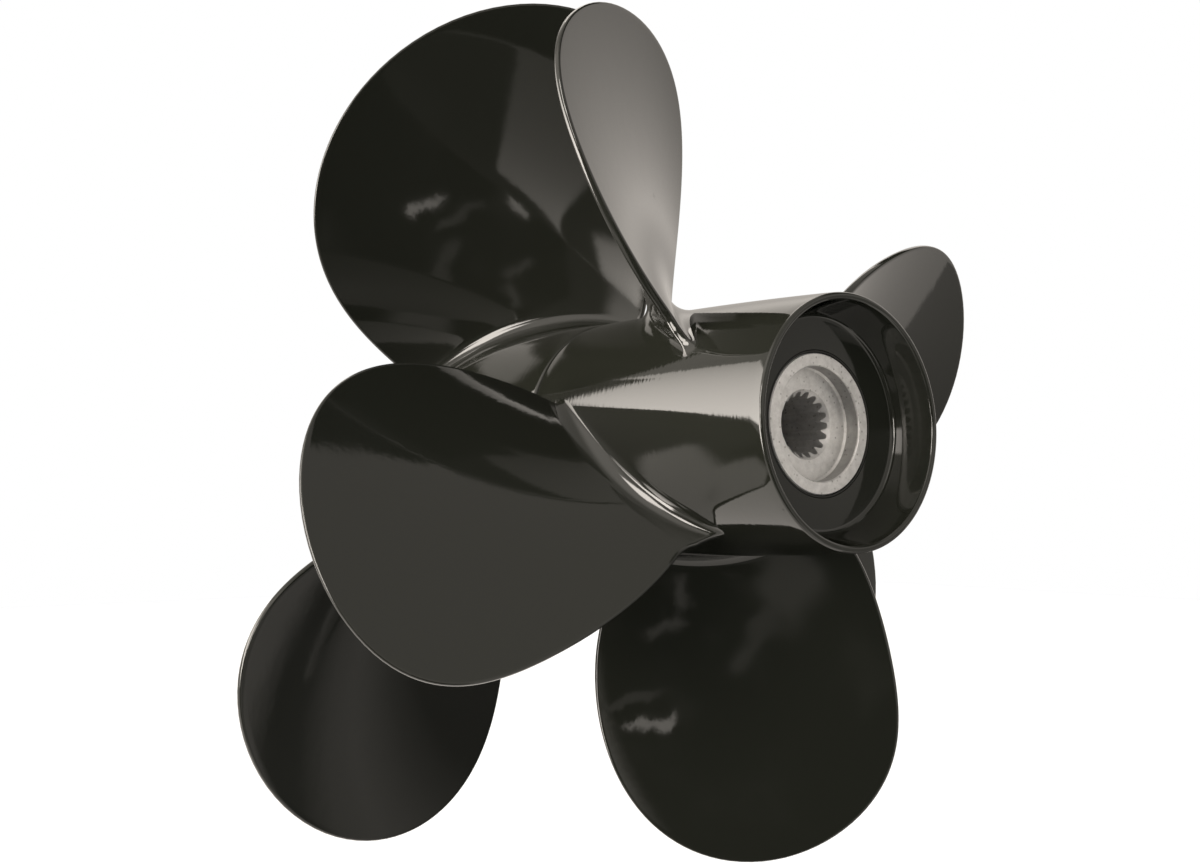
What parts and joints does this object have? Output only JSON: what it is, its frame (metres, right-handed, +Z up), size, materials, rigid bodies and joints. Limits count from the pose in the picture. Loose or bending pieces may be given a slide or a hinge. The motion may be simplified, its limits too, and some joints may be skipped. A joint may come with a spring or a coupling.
{
  "type": "contra-rotating ship propeller pair for a stern drive",
  "caption": "Contra-rotating ship propeller pair: black cast hubs with broad round-tipped blades, splined sleeves in rubber bushes, rear screw turning behind the front one.",
  "frame": {"origin": "on the shaft axis, in the plane of the aft rim of the rear hub", "axes": "+Y forward along the shaft axis, +X to starboard, +Z up"},
  "size_m": [0.3707, 0.232, 0.3741],
  "materials": {
    "black_paint": "high gloss enamel over cast aluminium",
    "bush_rubber": "matt",
    "sleeve_metal": "fine blasted, matt silver"
  },
  "bodies": {
    "front_unit": {"front_propeller": "black_paint", "front_rubber_bush": "bush_rubber", "front_spline_sleeve": "sleeve_metal"},
    "rear_unit": {"rear_propeller": "black_paint", "rear_rubber_bush": "bush_rubber", "rear_spline_sleeve": "sleeve_metal"}
  },
  "joints": [
    {"name": "rear_spin", "type": "hinge", "parent": "front_unit", "child": "rear_unit", "pos_m": [0, 0, 0], "axis": [0, 1, 0], "continuous": true}
  ]
}
